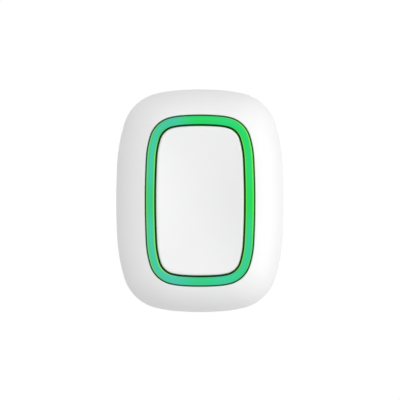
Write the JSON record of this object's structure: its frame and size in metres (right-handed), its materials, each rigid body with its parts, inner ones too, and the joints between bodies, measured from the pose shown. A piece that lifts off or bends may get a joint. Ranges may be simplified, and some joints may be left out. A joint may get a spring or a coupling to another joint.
{
  "type": "smart alarm button",
  "caption": "A small wireless alarm button: a pillow-shaped white body with a dished push pad inside a lit green ring, for hand, wrist or lanyard",
  "frame": {"origin": "centre of the flat back face, on which the button rests", "axes": "+Z out of the push pad, +Y along the length towards the lanyard end, +X across the width to the right of someone facing the pad"},
  "size_m": [0.0354, 0.047, 0.016],
  "materials": {
    "housing_white": "fine matte moulded ABS",
    "cover_white": "fine matte moulded ABS",
    "pad_white": "fine matte moulded ABS",
    "light_guide": "translucent polycarbonate, lit green from within",
    "silicone": "soft moulded silicone",
    "frame_black": "opaque moulded plastic",
    "board_green": "solder mask over glass laminate",
    "switch_plastic": "moulded plastic",
    "plunger_plastic": "moulded plastic",
    "sheet_steel": "nickel-plated sheet steel",
    "tinned_brass": "plated brass sheet",
    "chip_black": "moulded epoxy",
    "led_lens": "clear epoxy lens, lit green",
    "passive_ceramic": "ceramic with tinned ends"
  },
  "bodies": {
    "body": {"front_housing": "housing_white", "rear_cover": "cover_white", "light_ring": "light_guide", "cap_membrane": "silicone", "case_seal": "silicone", "inner_frame": "frame_black", "battery_holder": "frame_black", "circuit_board": "board_green", "switch_base": "switch_plastic", "switch_frame": "sheet_steel", "switch_dome": "sheet_steel", "crystal_can": "sheet_steel", "battery_can": "sheet_steel", "battery_cap": "sheet_steel", "battery_contact_positive": "sheet_steel", "battery_contact_negative": "sheet_steel", "antenna": "tinned_brass", "switch_terminals": "tinned_brass", "radio_chip": "chip_black", "led_top": "led_lens", "led_right": "led_lens", "led_bottom": "led_lens", "led_left": "led_lens", "board_passives": "passive_ceramic"},
    "pad": {"button_cap": "pad_white"},
    "plunger": {"switch_plunger": "plunger_plastic"}
  },
  "joints": [
    {"name": "pad_press", "type": "slide", "parent": "body", "child": "pad", "axis": [0, 0, 1], "range_m": [-0.00035, 0], "stiffness_N_per_m": 500, "springref_m": 0.0045, "deforming": ["cap_membrane", "switch_dome"]},
    {"name": "plunger_press", "type": "slide", "parent": "body", "child": "plunger", "axis": [0, 0, 1], "range_m": [-0.00035, 0]}
  ],
  "couplings": [
    {"joint": "plunger_press", "follows": "pad_press", "ratio": 1}
  ]
}
